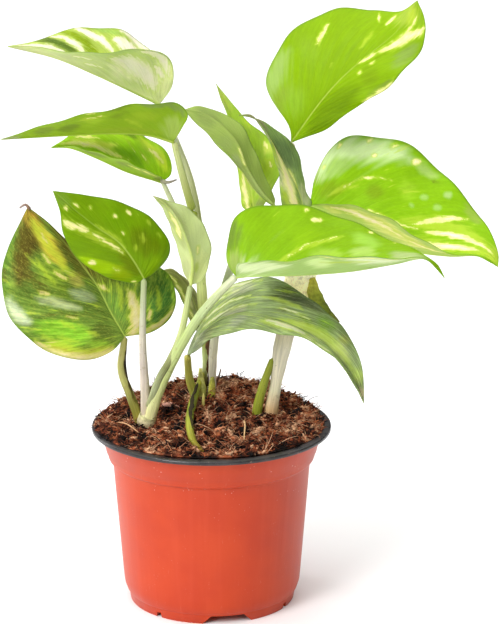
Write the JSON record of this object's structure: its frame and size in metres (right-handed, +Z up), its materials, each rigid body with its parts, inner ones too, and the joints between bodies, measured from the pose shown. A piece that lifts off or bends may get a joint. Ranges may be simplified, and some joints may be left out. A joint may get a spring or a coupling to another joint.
{
  "type": "potted pothos plant",
  "caption": "Leafy trailing houseplant with heart-shaped variegated leaves on arching stalks, rooted in coir soil in a tapered nursery pot.",
  "frame": {"origin": "middle of the pot's foot, on the surface it stands on", "axes": "+Z up along the pot's axis, -Y towards the front in the picture, +X to the right"},
  "size_m": [0.2429, 0.131, 0.3041],
  "materials": {
    "leaf_green": "living leaf: bright green with cream streaks, smooth and softly glossy above, paler and duller below",
    "stalk_green": "fleshy stalk: smooth, satin, pale green to olive",
    "soil": "loose brown coir fibre and chips, dry and matt",
    "pot_plastic": "thin moulded plastic, satin terracotta outside, black inside and on the rim"
  },
  "bodies": {
    "root": {"shoot_left": "stalk_green", "shoot_centre": "stalk_green", "shoot_right": "stalk_green", "leaf_top_left": "leaf_green", "leaf_long_left": "leaf_green", "leaf_mid_left": "leaf_green", "leaf_front_left": "leaf_green", "leaf_far_left": "leaf_green", "leaf_small_pale": "leaf_green", "leaf_narrow_back": "leaf_green", "leaf_arched_centre": "leaf_green", "leaf_upright_back": "leaf_green", "leaf_dark_centre": "leaf_green", "leaf_top_right": "leaf_green", "leaf_right": "leaf_green", "leaf_front_right": "leaf_green", "leaf_drooping": "leaf_green", "soil": "soil", "pot": "pot_plastic"}
  },
  "joints": []
}
